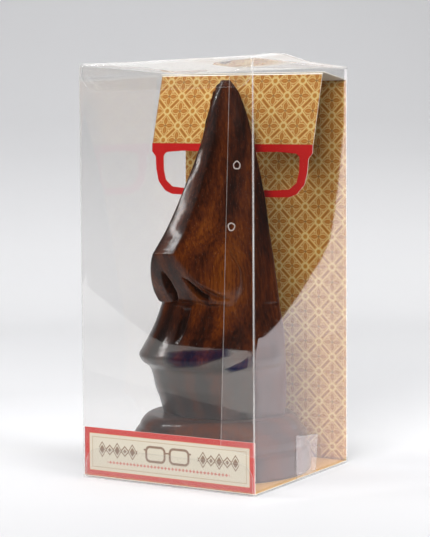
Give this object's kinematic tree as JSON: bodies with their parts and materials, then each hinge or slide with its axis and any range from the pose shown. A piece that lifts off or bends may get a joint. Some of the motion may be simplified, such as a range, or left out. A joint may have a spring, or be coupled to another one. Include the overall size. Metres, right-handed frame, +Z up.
{
  "type": "eyeglasses display stand",
  "caption": "Dark carved wooden nose-shaped eyeglasses holder on a round plinth, boxed in a clear folding carton with a patterned card insert and red cut-out glasses.",
  "frame": {"origin": "centre of the carton's bottom face", "axes": "+Z up, the label side faces -Y, +X to the right seen from the label side"},
  "size_m": [0.0857, 0.0856, 0.1804],
  "materials": {
    "clear_film": "clear glossy",
    "glue_white": "matt",
    "printed_card": "printed, satin",
    "label_card": "printed, satin",
    "red_card": "printed, satin",
    "dark_wood": "glossy varnish",
    "pale_wood": "bare"
  },
  "bodies": {
    "carton": {"carton_front_wall": "clear_film", "carton_right_wall": "clear_film", "carton_back_wall": "clear_film", "carton_left_wall": "clear_film", "carton_seam_flap": "clear_film", "seam_glue_spots": "glue_white", "bottom_panel": "clear_film", "bottom_tuck_flap": "clear_film", "bottom_dust_flap_left": "clear_film", "bottom_dust_flap_right": "clear_film", "tape_seal": "clear_film", "card_back_panel": "printed_card", "card_floor_panel": "printed_card", "card_label_panel": "label_card", "card_shelf_panel": "printed_card"},
    "lid": {"lid_panel": "clear_film"},
    "tuck": {"lid_tuck_flap": "clear_film"},
    "left_dust_flap": {"dust_flap_left": "clear_film"},
    "right_dust_flap": {"dust_flap_right": "clear_film"},
    "glasses_flap": {"card_glasses_panel": "printed_card", "card_left_eyeglass": "red_card", "card_right_eyeglass": "red_card"},
    "holder": {"nose_column": "dark_wood", "base_plinth": "dark_wood", "joining_dowel": "pale_wood"}
  },
  "joints": [
    {"name": "lid_crease", "type": "hinge", "parent": "carton", "child": "lid", "pos_m": [0, 0.0428, 0.1777], "axis": [-1, 0, 0], "range_deg": [0, 120]},
    {"name": "tuck_crease", "type": "hinge", "parent": "lid", "child": "tuck", "pos_m": [0, -0.04205, 0.17765], "axis": [1, 0, 0], "range_deg": [0, 50]},
    {"name": "left_dust_crease", "type": "hinge", "parent": "carton", "child": "left_dust_flap", "pos_m": [-0.0428, 0, 0.17705], "axis": [0, -1, 0], "range_deg": [0, 60]},
    {"name": "right_dust_crease", "type": "hinge", "parent": "carton", "child": "right_dust_flap", "pos_m": [0.0428, 0, 0.17705], "axis": [0, 1, 0], "range_deg": [0, 60]},
    {"name": "glasses_fold", "type": "hinge", "parent": "carton", "child": "glasses_flap", "pos_m": [0, 0.0209, 0.1752], "axis": [1, 0, 0], "range_deg": [0, 25], "stiffness_Nm_per_rad": 0.004},
    {"name": "holder_turn", "type": "hinge", "parent": "carton", "child": "holder", "pos_m": [0.001, 0.0005, 0.00105], "axis": [0, 0, 1], "range_deg": [-1, 20]}
  ],
  "couplings": [
    {"joint": "left_dust_crease", "follows": "lid_crease", "ratio": 0.5},
    {"joint": "right_dust_crease", "follows": "lid_crease", "ratio": 0.5}
  ]
}
